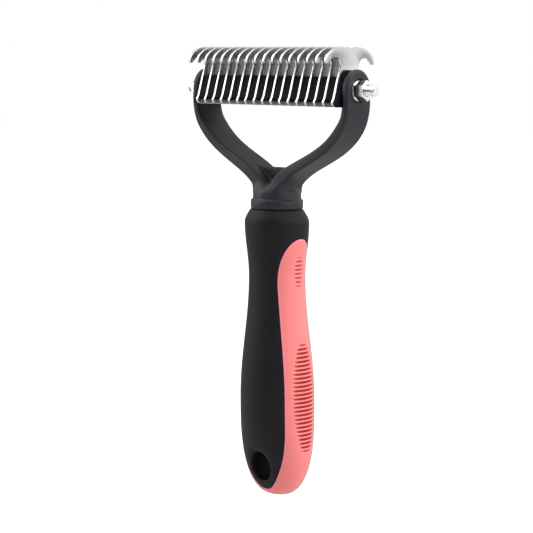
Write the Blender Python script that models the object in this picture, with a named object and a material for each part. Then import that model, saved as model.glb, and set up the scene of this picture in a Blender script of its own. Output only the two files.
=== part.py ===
"""Double-sided undercoat rake: a pack of seventeen steel blades on a threaded rod, held in a forked
yoke whose tang is seated in a two-colour soft-grip handle.

Frame: +X along the rod, +Z up from the handle's butt to the blades' crests, -Y the seventeen-hook
side. The origin is in the middle of the handle's length, straight below the middle of the rod.
Every size and shape below is given from the rod's axis, which ROD_Z places. Units are metres.
"""

from math import pi

import bmesh
import bpy
import numpy as np

MM = 0.001
GAP = 0.3 * MM  # left between pieces that touch on the real tool
ROD_Z = 107.0 * MM

# blades and spacers
BLADE_COUNT = 17
BLADE_PITCH = 4.6 * MM
BLADE_THICKNESS = 1.0 * MM
BLADE_BOTTOM = -6.4 * MM
CREST = (4.8 * MM, 16.85 * MM)
CREST_DIP = 0.75 * MM
THROAT = (8.75 * MM, 9.35 * MM)
THROAT_RADIUS = 3.25 * MM
HOOK_TIP = (13.35 * MM, 11.15 * MM)
HOOK_TIP_RADIUS = 1.05 * MM
BOTTOM_HALF_DEPTH = 10.0 * MM
BOTTOM_CORNER_RADIUS = 2.2 * MM
SPACER_SETBACK = 0.35 * MM
SPACER_TOP = 5.4 * MM
SPACER_BOTTOM = -4.7 * MM
END_SPACER_TOP = 8.2 * MM
END_SPACER_THICKNESS = 1.2 * MM

# rod, nuts and washers: M4
ROD_RADIUS = 2.0 * MM
ROD_HALF_LENGTH = 50.5 * MM
ROD_CHAMFER = 0.4 * MM
HOLE_RADIUS = ROD_RADIUS + GAP
WASHER_RADIUS = 4.5 * MM
WASHER_THICKNESS = 0.8 * MM
NUT_ACROSS_FLATS = 7.0 * MM
NUT_THICKNESS = 3.2 * MM
NUT_CHAMFER = 0.5 * MM

# yoke
ARM_CENTRE_X = 40.7 * MM
ARM_THICKNESS = 3.2 * MM  # at the end boss
ARM_RELIEF = 0.45 * MM  # how much thinner each arm is beside the blades, halved
ARM_HALF_DEPTH = 7.2 * MM
ARM_TOP_Y = 0.15 * MM
ARM_BEND_Y = 0.75 * MM
ARM_TOP = 8.2 * MM
ARM_EDGE = 0.8 * MM
RECESS_RADIUS = 5.2 * MM
RECESS_DEPTH = 0.8 * MM
COLLAR_BOTTOM = -47.8 * MM
COLLAR_HEIGHT = 3.6 * MM
COLLAR_RADIUS = 10.6 * MM
NECK_RADIUS = 9.8 * MM
NECK_TOP = -37.6 * MM
WEB_TOP = -31.0 * MM
WEB_THICKNESS = 2.6 * MM
TANG_RADIUS = 4.6 * MM
TANG_LENGTH = 42.0 * MM
TANG_GROOVE_DEPTH = 0.5 * MM

# handle
GRIP_TOP = COLLAR_BOTTOM - GAP
SHOULDER_Z = -53.5 * MM
SHOULDER_RADIUS = 13.05 * MM
WAIST_Z = -75.0 * MM
WAIST_RADIUS = 11.5 * MM
PALM_Z = -126.0 * MM
PALM_RADIUS = 15.2 * MM
BUTT_Z = -166.2 * MM
BUTT_POWER = 2.6
BUTT_ROOT = 2.85
HANDLE_LEAN = 0.0275  # how fast the axis leans back below the collar
GRIP_THICKNESS = 2.0 * MM
EDGE_GAP = 1.3 * GAP  # between the black and the coral moulding, measured downwards
PANEL_TOP_Z = -59.5 * MM
PANEL_START_Z = -77.0 * MM
PANEL_WAIST_ANGLE = 41.5
PANEL_PALM_Z = -125.0 * MM
PANEL_PALM_ANGLE = 54.3
TONGUE_START_Z = -134.0 * MM
TONGUE_END_Z = -163.2 * MM
TONGUE_POWER = 2.5
HANG_HOLE_Z = -153.6 * MM
HANG_HOLE_HALF_WIDTH = 5.0 * MM
HANG_HOLE_HALF_HEIGHT = 6.2 * MM

ARM_X = (-1, 1)


def clear_scene():
    for obj in list(bpy.data.objects):
        bpy.data.objects.remove(obj, do_unlink=True)


def material(name, colour, roughness, metallic=0.0):
    made = bpy.data.materials.new(name)
    made.use_nodes = True
    shader = made.node_tree.nodes["Principled BSDF"]
    shader.inputs["Base Color"].default_value = (*colour, 1.0)
    shader.inputs["Roughness"].default_value = roughness
    shader.inputs["Metallic"].default_value = metallic
    return made


def add_empty(name, location, parent=None):
    empty = bpy.data.objects.new(name, None)
    bpy.context.scene.collection.objects.link(empty)
    empty.location = location
    empty.parent = parent
    return empty


def add_object(name, mesh, finish, location=(0.0, 0.0, 0.0), parent=None):
    """An object placed from the rod's middle, or from its parent empty."""
    obj = bpy.data.objects.new(name, mesh)
    bpy.context.scene.collection.objects.link(obj)
    obj.location = location
    obj.parent = parent or bpy.data.objects["rod_middle"]
    if not mesh.materials:
        mesh.materials.append(finish)
    return obj


def mesh_from(name, bm, sharp_angle=0.5):
    bmesh.ops.recalc_face_normals(bm, faces=bm.faces[:])
    mesh = bpy.data.meshes.new(name)
    bm.to_mesh(mesh)
    bm.free()
    mesh.shade_smooth()
    mesh.set_sharp_from_angle(angle=sharp_angle)
    return mesh


def arc(centre, radius, start, end, steps):
    """Points on a circle in the YZ plane from start to end, in degrees from +Y towards +Z."""
    angles = np.radians(np.linspace(start, end, steps + 1))
    return np.stack([centre[0] + radius * np.cos(angles), centre[1] + radius * np.sin(angles)], 1)


def bezier(p0, p1, p2, p3, steps):
    t = np.linspace(0.0, 1.0, steps + 1)[:, None]
    p0, p1, p2, p3 = (np.array(p) for p in (p0, p1, p2, p3))
    return (1 - t) ** 3 * p0 + 3 * (1 - t) ** 2 * t * p1 + 3 * (1 - t) * t**2 * p2 + t**3 * p3


def ease(t):
    """0 to 1 along half a cosine wave."""
    return 0.5 - 0.5 * np.cos(pi * np.clip(t, 0.0, 1.0))


def stem_half_depth(z):
    """Half the blade's depth below its throat: it widens evenly downwards."""
    top = THROAT[0] - THROAT_RADIUS
    return top + (BOTTOM_HALF_DEPTH - top) * (THROAT[1] - z) / (THROAT[1] - BLADE_BOTTOM)


def bottom_corner(half_depth, bottom, radius):
    """The rounded lower corner, from the slanted side to the flat bottom."""
    return arc((half_depth - radius, bottom + radius), radius, -10.0, -90.0, 3)


def crest_half():
    """The top edge from the shallow dip at the middle to the crest."""
    y = np.linspace(0.0, CREST[0], 4)
    return np.stack([y, CREST[1] - CREST_DIP * (0.5 + 0.5 * np.cos(pi * y / CREST[0]))], 1)


def hooked_half():
    """One side of a blade with its hook, from the middle of the top to the middle of the bottom."""
    tip_side = HOOK_TIP[0] + HOOK_TIP_RADIUS
    back = bezier(CREST, (9.4 * MM, CREST[1]), (13.9 * MM, 14.6 * MM), (tip_side, HOOK_TIP[1]), 5)
    tip = arc(HOOK_TIP, HOOK_TIP_RADIUS, -35.0, -140.0, 3)
    throat = arc(THROAT, THROAT_RADIUS, 42.0, 180.0, 6)
    corner = bottom_corner(BOTTOM_HALF_DEPTH, BLADE_BOTTOM, BOTTOM_CORNER_RADIUS)
    return np.concatenate([crest_half(), back[1:], tip, throat, corner])


def plain_half():
    """One side of a blade without a hook."""
    neck = THROAT[0] - THROAT_RADIUS
    shoulder = bezier(CREST, (5.6 * MM, CREST[1]), (neck, 15.8 * MM), (neck, 13.5 * MM), 3)
    corner = bottom_corner(BOTTOM_HALF_DEPTH, BLADE_BOTTOM, BOTTOM_CORNER_RADIUS)
    return np.concatenate([crest_half(), shoulder[1:], [(neck, THROAT[1])], corner])


def spacer_half(top, bottom, setback):
    """One side of a spacer: the blade's stem, set back, with rounded corners."""
    radius = 1.0 * MM
    upper = stem_half_depth(top) - setback
    lower = stem_half_depth(bottom) - setback
    top_corner = arc((upper - radius, top - radius), radius, 90.0, 10.0, 2)
    return np.concatenate([[(0.0, top)], top_corner, bottom_corner(lower, bottom, 1.5 * MM)])


def closed_outline(front, back):
    """A whole outline from its two halves: the front one is turned to -Y."""
    front = front[front[:, 0] > 1e-7] * (-1.0, 1.0)
    return np.concatenate([back, front[::-1]])


def plate(name, outline, thickness, hole_radius, hole_steps=12):
    """A plate in the YZ plane with a round hole for the rod, centred on x = 0."""
    bm = bmesh.new()
    angles = np.linspace(0.0, 2 * pi, hole_steps, endpoint=False)
    hole = hole_radius * np.stack([np.cos(angles), np.sin(angles)], 1)
    for loop in (outline, hole):
        verts = [bm.verts.new((-thickness / 2, y, z)) for y, z in loop]
        for a, b in zip(verts, verts[1:] + verts[:1]):
            bm.edges.new((a, b))
    bmesh.ops.triangle_fill(bm, use_beauty=True, edges=bm.edges[:])
    grown = bmesh.ops.extrude_face_region(bm, geom=bm.faces[:])
    moved = [v for v in grown["geom"] if isinstance(v, bmesh.types.BMVert)]
    bmesh.ops.translate(bm, verts=moved, vec=(thickness, 0.0, 0.0))
    return mesh_from(name, bm)


def turned(name, profile, steps, axis="X"):
    """A closed turned body from a closed profile of (along, radius) points."""
    bm = bmesh.new()
    angles = np.linspace(0.0, 2 * pi, steps, endpoint=False)
    rings = []
    for along, radius in profile:
        if radius == 0.0:
            rings.append([bm.verts.new((along, 0.0, 0.0))])
        else:
            ring = [(along, radius * np.cos(t), radius * np.sin(t)) for t in angles]
            rings.append([bm.verts.new(point) for point in ring])
    skin(bm, rings, closed=profile[0][1] != 0.0)
    if axis == "Z":
        for v in bm.verts:
            v.co = (v.co.y, v.co.z, v.co.x)
    return mesh_from(name, bm)


def skin(bm, rings, closed):
    """Faces between rings of vertices; a ring of one vertex is a pole."""
    following = rings[1:] + rings[:1] if closed else rings[1:]
    for ring, other in zip(rings, following):
        count = max(len(ring), len(other))
        for i in range(count):
            j = (i + 1) % count
            corners = [ring[i % len(ring)], ring[j % len(ring)], other[j % len(other)], other[i % len(other)]]
            bm.faces.new(list(dict.fromkeys(corners)))


def capped_loft(name, sections, sharp_angle=0.5):
    """A body through a list of equal-length loops of points, with flat ends."""
    bm = bmesh.new()
    rings = [[bm.verts.new(point) for point in section] for section in sections]
    skin(bm, rings, closed=False)
    bm.faces.new(rings[0])
    bm.faces.new(rings[-1])
    return mesh_from(name, bm, sharp_angle)


def boolean(obj, cutter, operation, solver="EXACT"):
    modifier = obj.modifiers.new(operation.title() + " " + cutter.name, "BOOLEAN")
    modifier.operation = operation
    modifier.solver = solver
    modifier.object = cutter
    cutter.hide_render = True
    cutter.display_type = "WIRE"


def make_pack(steel, spacer_finish):
    """The seventeen blades and the spacers between them, which turn about the rod as one pack."""
    pack = add_empty("blade_pack", (0.0, 0.0, 0.0), bpy.data.objects["rod_middle"])
    hooked = hooked_half()
    double = plate("blade_double", closed_outline(hooked, hooked), BLADE_THICKNESS, HOLE_RADIUS)
    single = plate("blade_single", closed_outline(hooked, plain_half()), BLADE_THICKNESS, HOLE_RADIUS)
    middle = (BLADE_COUNT - 1) / 2
    for i in range(BLADE_COUNT):
        x = (i - middle) * BLADE_PITCH
        add_object(f"blade_{i + 1:02d}", single if i % 2 else double, steel, (x, 0.0, 0.0), pack)

    inner = spacer_half(SPACER_TOP, SPACER_BOTTOM, SPACER_SETBACK)
    width = BLADE_PITCH - BLADE_THICKNESS - 2 * GAP
    between = plate("spacer", closed_outline(inner, inner), width, HOLE_RADIUS)
    for i in range(BLADE_COUNT - 1):
        x = (i + 0.5 - middle) * BLADE_PITCH
        add_object(f"spacer_{i + 1:02d}", between, spacer_finish, (x, 0.0, 0.0), pack)


def make_end_spacers(finish):
    """The two taller end spacers, each pressed against an arm, which stay still when the pack turns."""
    outer = spacer_half(END_SPACER_TOP, BLADE_BOTTOM, SPACER_SETBACK)
    end = plate("end_spacer", closed_outline(outer, outer), END_SPACER_THICKNESS, HOLE_RADIUS)
    last_blade_x = (BLADE_COUNT - 1) / 2 * BLADE_PITCH
    x = last_blade_x + BLADE_THICKNESS / 2 + GAP + END_SPACER_THICKNESS / 2
    for side, name in zip(ARM_X, ("end_spacer_left", "end_spacer_right")):
        add_object(name, end, finish, (side * x, 0.0, 0.0))


def make_rod(steel):
    """The M4 threaded rod, plain here, with chamfered ends."""
    end = ROD_HALF_LENGTH
    small = ROD_RADIUS - ROD_CHAMFER
    profile = [
        (-end, 0.0),
        (-end, small),
        (-end + ROD_CHAMFER, ROD_RADIUS),
        (end - ROD_CHAMFER, ROD_RADIUS),
        (end, small),
        (end, 0.0),
    ]
    add_object("threaded_rod", turned("threaded_rod", profile, 20), steel)


def make_washers_and_nuts(steel):
    """A washer in each arm's recess and a hex nut on it; the left ones mirror the right ones."""
    recess_floor = ARM_CENTRE_X + ARM_THICKNESS / 2 - RECESS_DEPTH
    washer_x = recess_floor + GAP + WASHER_THICKNESS / 2
    nut_x = washer_x + WASHER_THICKNESS / 2 + GAP + NUT_THICKNESS / 2
    half = WASHER_THICKNESS / 2
    ring = [(-half, HOLE_RADIUS), (-half, WASHER_RADIUS), (half, WASHER_RADIUS), (half, HOLE_RADIUS)]
    washer = turned("washer", ring, 28)
    nut = hex_nut()
    for side, name in zip(ARM_X, ("left", "right")):
        add_object("washer_" + name, washer, steel, (side * washer_x, 0.0, 0.0))
        add_object("nut_" + name, nut, steel, (side * nut_x, 0.0, 0.0))


def hex_nut():
    """A hexagonal prism along X with chamfered corners and a round bore."""
    steps = 24
    angles = np.linspace(0.0, 2 * pi, steps, endpoint=False)
    from_flat = (angles + pi / 6) % (pi / 3) - pi / 6
    flat = NUT_ACROSS_FLATS / 2
    hexagon = flat / np.cos(from_flat)
    chamfered = np.minimum(hexagon, flat * 1.02)
    half = NUT_THICKNESS / 2
    bore = np.full(steps, HOLE_RADIUS)
    layers = [(-half, bore), (-half, chamfered), (-half + NUT_CHAMFER, hexagon)]
    layers += [(half - NUT_CHAMFER, hexagon), (half, chamfered), (half, bore)]
    bm = bmesh.new()
    rings = []
    for x, radii in layers:
        points = np.stack([np.full(steps, x), radii * np.cos(angles), radii * np.sin(angles)], 1)
        rings.append([bm.verts.new(point) for point in points])
    skin(bm, rings, closed=True)
    return mesh_from("nut", bm)


def arm_path():
    """Centre line of the right arm in the XZ plane, from the end boss down into the neck."""
    start = (ARM_CENTRE_X - ARM_RELIEF, -4.0 * MM)
    bow = bezier(start, (40.45 * MM, -15.5 * MM), (31.8 * MM, -21.8 * MM), (23.3 * MM, -26.3 * MM), 8)
    root = bezier(bow[-1], (15.8 * MM, -30.3 * MM), (7.0 * MM, -33.0 * MM), (3.2 * MM, -40.5 * MM), 7)
    return np.concatenate([bow, root[1:]])


def arm_relief(z):
    """The arm's inner face stands back here, so that the blades can turn past it."""
    return ARM_RELIEF * (1 - ease((-9.5 * MM - z) / (8.0 * MM)))


def arm_middle_y(z):
    """The arm bows back a little between its end and the neck."""
    bend = ease((-8.0 * MM - z) / (16.0 * MM)) - ease((-25.0 * MM - z) / (9.0 * MM))
    return ARM_TOP_Y * ease((-z - 2.0 * MM) / (8.0 * MM)) + (ARM_BEND_Y - ARM_TOP_Y) * bend


def arm_section(centre, across, half_thickness, half_depth, middle_y=0.0):
    """A chamfered rectangle: across is the arm's thickness direction in the XZ plane."""
    edge = min(ARM_EDGE, 0.45 * half_depth)
    t, d = half_thickness, half_depth
    corners = [(t, d - edge), (t - edge, d), (edge - t, d), (-t, d - edge)]
    corners += [(-t, edge - d), (edge - t, -d), (t - edge, -d), (t, edge - d)]
    return [(centre[0] + s * across[0], middle_y + y, centre[1] + s * across[1]) for s, y in corners]


def arm_mesh(side):
    """One arm with its round end, as sections carried along its centre line."""
    sections = []
    for turn in np.radians(np.linspace(84.0, 0.0, 7)):
        z = ARM_TOP * np.sin(turn)
        depth = ARM_HALF_DEPTH * np.cos(turn)
        sections.append(arm_section((ARM_CENTRE_X, z), (1.0, 0.0), ARM_THICKNESS / 2, depth))
    path = arm_path()
    along = np.gradient(path, axis=0)
    along /= np.linalg.norm(along, axis=1)[:, None]
    for i, (point, direction) in enumerate(zip(path, along)):
        across = np.array((-direction[1], direction[0]) if i else (1.0, 0.0))
        z = point[1]
        relief = arm_relief(z)
        flare = ease((-27.0 * MM - z) / (11.0 * MM))
        half = (ARM_THICKNESS / 2 + ARM_RELIEF - relief) * (1 + 0.22 * flare)
        centre = point + relief * across
        sections.append(arm_section(centre, across, half, ARM_HALF_DEPTH, arm_middle_y(z)))
    placed = [[(side * x, y, z) for x, y, z in section] for section in sections]
    return capped_loft("yoke_arm", placed)


def neck_mesh():
    """The turned neck and collar between the arms and the handle, with the tang below."""
    tang_end = COLLAR_BOTTOM - TANG_LENGTH
    profile = [
        (NECK_TOP, 0.0),
        (NECK_TOP, 6.6 * MM),
        (NECK_TOP - 1.0 * MM, 8.2 * MM),
        (NECK_TOP - 2.6 * MM, 9.4 * MM),
        (COLLAR_BOTTOM + COLLAR_HEIGHT + 0.6 * MM, NECK_RADIUS),
        (COLLAR_BOTTOM + COLLAR_HEIGHT, COLLAR_RADIUS - 0.3 * MM),
        (COLLAR_BOTTOM + COLLAR_HEIGHT - 0.5 * MM, COLLAR_RADIUS),
        (COLLAR_BOTTOM + 0.3 * MM, COLLAR_RADIUS),
        (COLLAR_BOTTOM, COLLAR_RADIUS - 0.3 * MM),
        (COLLAR_BOTTOM, TANG_RADIUS),
    ]
    grooves = 3
    for i in range(grooves):
        z = COLLAR_BOTTOM - (9.0 + 10.0 * i) * MM
        low = TANG_RADIUS - TANG_GROOVE_DEPTH
        profile += [(z, TANG_RADIUS), (z - 0.5 * MM, low), (z - 2.5 * MM, low), (z - 3.0 * MM, TANG_RADIUS)]
    profile += [(tang_end + 1.0 * MM, TANG_RADIUS), (tang_end, TANG_RADIUS - 1.0 * MM), (tang_end, 0.0)]
    return turned("yoke_neck", profile, 28, axis="Z")


def web_mesh():
    """The thin web that closes the crotch between the arms."""
    half = WEB_THICKNESS / 2
    top = [(x * MM, (WEB_TOP - 0.8 * MM * (1 - (x / 13.0) ** 2))) for x in (-13.0, -6.5, 0.0, 6.5, 13.0)]
    outline = top + [(5.0 * MM, NECK_TOP - 3.0 * MM), (-5.0 * MM, NECK_TOP - 3.0 * MM)]
    return capped_loft("yoke_web", [[(x, y, z) for x, z in outline] for y in (-half, half)])


def bore_mesh(name, radius, start, end, steps=24):
    """A cylinder along X, as a cutter."""
    return turned(name, [(start, 0.0), (start, radius), (end, radius), (end, 0.0)], steps)


def make_yoke(finish):
    """The one-piece forked yoke: neck, collar and tang, two arms, the web, rod holes and recesses."""
    yoke = add_object("yoke", neck_mesh(), finish)
    for side, name in zip(ARM_X, ("left", "right")):
        arm = add_object("yoke_arm_" + name, arm_mesh(side), finish)
        boolean(yoke, arm, "UNION", "MANIFOLD")
    boolean(yoke, add_object("yoke_web", web_mesh(), finish), "UNION", "MANIFOLD")
    reach = ARM_CENTRE_X + 2 * ARM_THICKNESS
    bore = add_object("rod_bore", bore_mesh("rod_bore", HOLE_RADIUS, -reach, reach), finish)
    boolean(yoke, bore, "DIFFERENCE", "MANIFOLD")
    floor = ARM_CENTRE_X + ARM_THICKNESS / 2 - RECESS_DEPTH
    for side, name in zip(ARM_X, ("left", "right")):
        ends = sorted((side * floor, side * (floor + 2 * ARM_THICKNESS)))
        recess = add_object("recess_" + name, bore_mesh("recess", RECESS_RADIUS, *ends, steps=32), finish)
        boolean(yoke, recess, "DIFFERENCE", "MANIFOLD")


def handle_radius(z):
    """Mean radius of the handle: shoulder, waist and palm swell, closed by a blunt butt."""
    rise = np.clip((GRIP_TOP - z) / (GRIP_TOP - SHOULDER_Z), 0.0, 1.0)
    start = COLLAR_RADIUS + 0.1 * MM
    shoulder = start + (SHOULDER_RADIUS - start) * np.sin(pi / 2 * rise) ** 1.15
    waist = (WAIST_RADIUS - SHOULDER_RADIUS) * ease((SHOULDER_Z - z) / (SHOULDER_Z - WAIST_Z))
    palm = (PALM_RADIUS - WAIST_RADIUS) * ease((WAIST_Z - z) / (WAIST_Z - PALM_Z))
    down = np.clip((PALM_Z - z) / (PALM_Z - BUTT_Z), 0.0, 1.0)
    return (shoulder + waist + palm) * (1 - down**BUTT_POWER) ** (1 / BUTT_ROOT)


def handle_point(angle, z, inset=0.0):
    """A point of the handle's surface: angle in degrees from -Y towards +X, inset from the skin."""
    radius = np.maximum(handle_radius(z) - inset, 0.0)
    wide = 0.03 + 0.10 * ease((PALM_Z - z) / (26.0 * MM))
    lean = HANDLE_LEAN * np.maximum(COLLAR_BOTTOM - z, 0.0)
    turn = np.radians(angle)
    x = radius * (1 + wide) * np.sin(turn)
    y = lean - radius * (1 - wide) * np.cos(turn)
    return x, y, z


def panel_edge(z):
    """Half-angle in degrees that the black panel covers at height z, about the front and back lines."""
    up = np.clip((z - PANEL_START_Z) / (PANEL_TOP_Z - PANEL_START_Z), 0.0, 1.0)
    t = np.clip((PANEL_START_Z - z) / (PANEL_START_Z - PANEL_PALM_Z), 0.0, 1.0)
    t = t * t / (t + 0.06) * 1.06
    down = np.clip((TONGUE_START_Z - z) / (TONGUE_START_Z - TONGUE_END_Z), 0.0, 1.0)
    waist = PANEL_WAIST_ANGLE + (90.0 - PANEL_WAIST_ANGLE) * (1 - np.sqrt(1 - up * up))
    palm = (PANEL_PALM_ANGLE - PANEL_WAIST_ANGLE) * np.sin(pi / 2 * t)
    return (waist + palm) * (1 - down**TONGUE_POWER) ** (1 / TONGUE_POWER)


def shell_strip(bm, heights, first, last, steps, inset_of):
    """Outer and inner grids of a strip of the grip between the angles first(z) and last(z)."""
    grids = []
    for layer in (0, 1):
        grid = []
        for z in heights:
            angles = first(z) + (last(z) - first(z)) * np.linspace(0.0, 1.0, steps + 1)
            grid.append([bm.verts.new(handle_point(a, z, inset_of(z)[layer])) for a in angles])
        grids.append(grid)
    return grids


def fill_strip(bm, grids, side_rows, ends):
    """Quads over both grids, and walls along the free sides and the free ends."""
    outer, inner = grids
    rows, columns = len(outer), len(outer[0])
    for grid in grids:
        for j in range(rows - 1):
            for i in range(columns - 1):
                bm.faces.new((grid[j][i], grid[j][i + 1], grid[j + 1][i + 1], grid[j + 1][i]))
    for j in range(rows - 1):
        if j in side_rows:
            for i in (0, columns - 1):
                bm.faces.new((outer[j][i], outer[j + 1][i], inner[j + 1][i], inner[j][i]))
    for j in ends:
        for i in range(columns - 1):
            bm.faces.new((outer[j][i], outer[j][i + 1], inner[j][i + 1], inner[j][i]))


def grip_insets(z):
    return 0.0, GRIP_THICKNESS


def edge_heights():
    """Heights from the coral panel's apex to the tongue's end, closest where the edge turns most."""
    apex = PANEL_TOP_Z + (PANEL_START_Z - PANEL_TOP_Z) * np.linspace(0.0, 1.0, 8) ** 1.7
    body = np.linspace(PANEL_START_Z, TONGUE_START_Z, 8)[1:]
    tongue = TONGUE_START_Z + (TONGUE_END_Z - TONGUE_START_Z) * np.sin(np.linspace(0.0, 0.5, 8)[1:] * pi)
    return np.concatenate([apex, body, tongue])


def make_black_grip(finish):
    """Black soft moulding: a ring at the shoulder with a long tongue down the front and the back."""
    ring = GRIP_TOP - (GRIP_TOP - SHOULDER_Z) * np.linspace(0.0, 1.0, 5) ** 1.8
    above = np.concatenate([ring, [0.5 * (SHOULDER_Z + PANEL_TOP_Z)]])
    heights = np.concatenate([above, edge_heights()[:-1]])
    free = range(len(above), len(heights))
    bm = bmesh.new()
    for facing in (0.0, 180.0):
        grids = shell_strip(
            bm, heights, lambda z: facing - panel_edge(z), lambda z: facing + panel_edge(z), 7, grip_insets
        )
        fill_strip(bm, grids, free, (0, len(heights) - 1))
    bmesh.ops.remove_doubles(bm, verts=bm.verts[:], dist=1e-6)
    grip = add_object("black_grip", mesh_from("black_grip", bm, 0.7), finish)
    boolean(grip, hang_hole_cutter("grip_hole"), "DIFFERENCE")


def coral_edge(z):
    """The coral panel's edge stays one gap outside the black panel's."""
    clearance = np.degrees(EDGE_GAP / handle_radius(WAIST_Z))
    above = z + EDGE_GAP
    inside = above > TONGUE_END_Z + 1e-9
    return np.minimum(panel_edge(above) + clearance, 90.0) if inside else 0.0


def make_coral_grip(finish):
    """Coral soft moulding: a panel down each side, the two joined round the butt."""
    edge = edge_heights() - EDGE_GAP
    butt = edge[-1] + (BUTT_Z - edge[-1]) * np.sin(np.linspace(0.0, 0.47, 5)[1:] * pi)
    heights = np.concatenate([edge, butt])
    free = range(0, len(edge) - 1)
    bm = bmesh.new()
    for facing in (90.0, 270.0):
        grids = shell_strip(
            bm, heights, lambda z: facing - 90.0 + coral_edge(z), lambda z: facing + 90.0 - coral_edge(z),
            8, lambda z: (0.0, min(GRIP_THICKNESS, handle_radius(z) * 0.6))
        )
        for row_outer, row_inner in zip(*grids):
            lift_inner_butt(row_outer, row_inner)
        fill_strip(bm, grids, free, ())
    bmesh.ops.remove_doubles(bm, verts=bm.verts[:], dist=1e-6)
    close_rings(bm)
    add_object("coral_grip", mesh_from("coral_grip", bm, 0.7), finish)


def lift_inner_butt(row_outer, row_inner):
    """Below the tongues the inner skin rises, so that the butt's wall keeps its thickness."""
    z = row_outer[0].co.z
    depth = np.clip((TONGUE_END_Z - EDGE_GAP - z) / (TONGUE_END_Z - EDGE_GAP - BUTT_Z), 0.0, 1.0)
    for v in row_inner:
        v.co.z += GRIP_THICKNESS * depth


def close_rings(bm):
    """Caps the two open rings at the butt, the outer and the inner skin's."""
    open_edges = [edge for edge in bm.edges if edge.is_boundary]
    bmesh.ops.holes_fill(bm, edges=open_edges, sides=0)


def hang_hole_cutter(name):
    """An oval bar along Y through the handle near its butt."""
    angles = np.linspace(0.0, 2 * pi, 20, endpoint=False)
    x = HANG_HOLE_HALF_WIDTH * np.cos(angles)
    z = HANG_HOLE_Z + HANG_HOLE_HALF_HEIGHT * np.sin(angles)
    reach = 2 * PALM_RADIUS
    sections = [[(a, y, b) for a, b in zip(x, z)] for y in (-reach, reach)]
    return add_object(name, capped_loft(name, sections), bpy.data.materials["soft_black"])


def make_core(finish):
    """The hard core under the grips, with the tang's socket and the hang hole."""
    inset = GRIP_THICKNESS + 2 * GAP
    top = GRIP_TOP - 0.2 * MM
    bottom = BUTT_Z + 4.4 * MM
    heights = np.concatenate([np.linspace(top, PALM_Z, 10), np.linspace(PALM_Z, bottom, 7)[1:]])
    angles = np.linspace(0.0, 360.0, 20, endpoint=False)
    sections = [[handle_point(a, z, inset) for a in angles] for z in heights]
    core = add_object("handle_core", capped_loft("handle_core", sections), finish)
    radius = TANG_RADIUS + GAP
    end = COLLAR_BOTTOM - TANG_LENGTH - 1.0 * MM
    bore = [(top + 1.0 * MM, 0.0), (top + 1.0 * MM, radius), (end, radius), (end, 0.0)]
    socket = add_object("tang_socket", turned("tang_socket", bore, 24, axis="Z"), finish)
    boolean(core, socket, "DIFFERENCE")
    boolean(core, hang_hole_cutter("core_hole"), "DIFFERENCE")


clear_scene()
add_empty("rod_middle", (0.0, 0.0, ROD_Z))
STEEL = material("blade_steel", (0.62, 0.62, 0.63), 0.28, 1.0)
PLATED = material("plated_steel", (0.80, 0.80, 0.81), 0.12, 1.0)
SPACER = material("spacer_black", (0.012, 0.012, 0.016), 0.45)
YOKE = material("yoke_black", (0.030, 0.028, 0.034), 0.42)
SOFT_BLACK = material("soft_black", (0.018, 0.018, 0.020), 0.62)
SOFT_CORAL = material("soft_coral", (0.95, 0.24, 0.22), 0.55)
CORE = material("core_black", (0.02, 0.02, 0.02), 0.5)
make_pack(STEEL, SPACER)
make_end_spacers(SPACER)
make_rod(PLATED)
make_washers_and_nuts(PLATED)
make_yoke(YOKE)
make_core(CORE)
make_black_grip(SOFT_BLACK)
make_coral_grip(SOFT_CORAL)
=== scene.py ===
from math import cos, pi, radians, sin

import bmesh
import bpy
import numpy as np
from mathutils import Matrix, Vector


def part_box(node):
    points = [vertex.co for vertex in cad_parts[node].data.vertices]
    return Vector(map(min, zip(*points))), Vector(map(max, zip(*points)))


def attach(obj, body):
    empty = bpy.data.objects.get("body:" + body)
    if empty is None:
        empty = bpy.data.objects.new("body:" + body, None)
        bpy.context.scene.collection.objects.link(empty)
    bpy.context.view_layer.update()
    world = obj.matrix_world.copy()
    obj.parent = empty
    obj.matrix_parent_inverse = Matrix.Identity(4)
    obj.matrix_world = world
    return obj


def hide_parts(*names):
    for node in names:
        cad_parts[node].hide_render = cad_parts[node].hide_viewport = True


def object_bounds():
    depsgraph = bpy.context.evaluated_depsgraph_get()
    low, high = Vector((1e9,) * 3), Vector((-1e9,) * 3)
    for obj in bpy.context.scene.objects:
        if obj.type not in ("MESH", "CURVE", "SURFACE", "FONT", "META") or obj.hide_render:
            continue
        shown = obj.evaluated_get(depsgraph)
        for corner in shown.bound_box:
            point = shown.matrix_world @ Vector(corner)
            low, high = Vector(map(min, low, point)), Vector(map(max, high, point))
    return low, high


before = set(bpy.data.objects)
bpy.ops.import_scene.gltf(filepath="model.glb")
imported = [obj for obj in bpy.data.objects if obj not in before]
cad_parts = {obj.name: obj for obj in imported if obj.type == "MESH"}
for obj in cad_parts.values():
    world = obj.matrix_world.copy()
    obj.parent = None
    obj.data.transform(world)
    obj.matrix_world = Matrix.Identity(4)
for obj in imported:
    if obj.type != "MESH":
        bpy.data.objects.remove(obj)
cad_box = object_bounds()

# ---------------------------------------------------------------------------------------------------
# Yoke. One glass-filled nylon moulding, spark-textured satin black: a turned neck and collar, two flat
# arms that bow out to round bosses for the rod, and a thin web that closes the crotch between them.
# Its tang goes down into the handle. The arms, neck and web run into each other with soft fillets.

MM = 0.001
ROD_MIDDLE = np.array([0.0, 0.0, sum(corner.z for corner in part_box("threaded_rod")) / 2])


class Value:
    """A shader value. Arithmetic on it adds Math nodes to its finish."""

    def __init__(self, finish, link):
        self.finish = finish
        self.link = link

    def math(self, operation, *numbers):
        return self.finish.node("ShaderNodeMath", {"operation": operation}, dict(enumerate(numbers)))

    def __add__(self, other):
        return self.math("ADD", self, other)

    def __mul__(self, other):
        return self.math("MULTIPLY", self, other)

    __radd__ = __add__
    __rmul__ = __mul__


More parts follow.
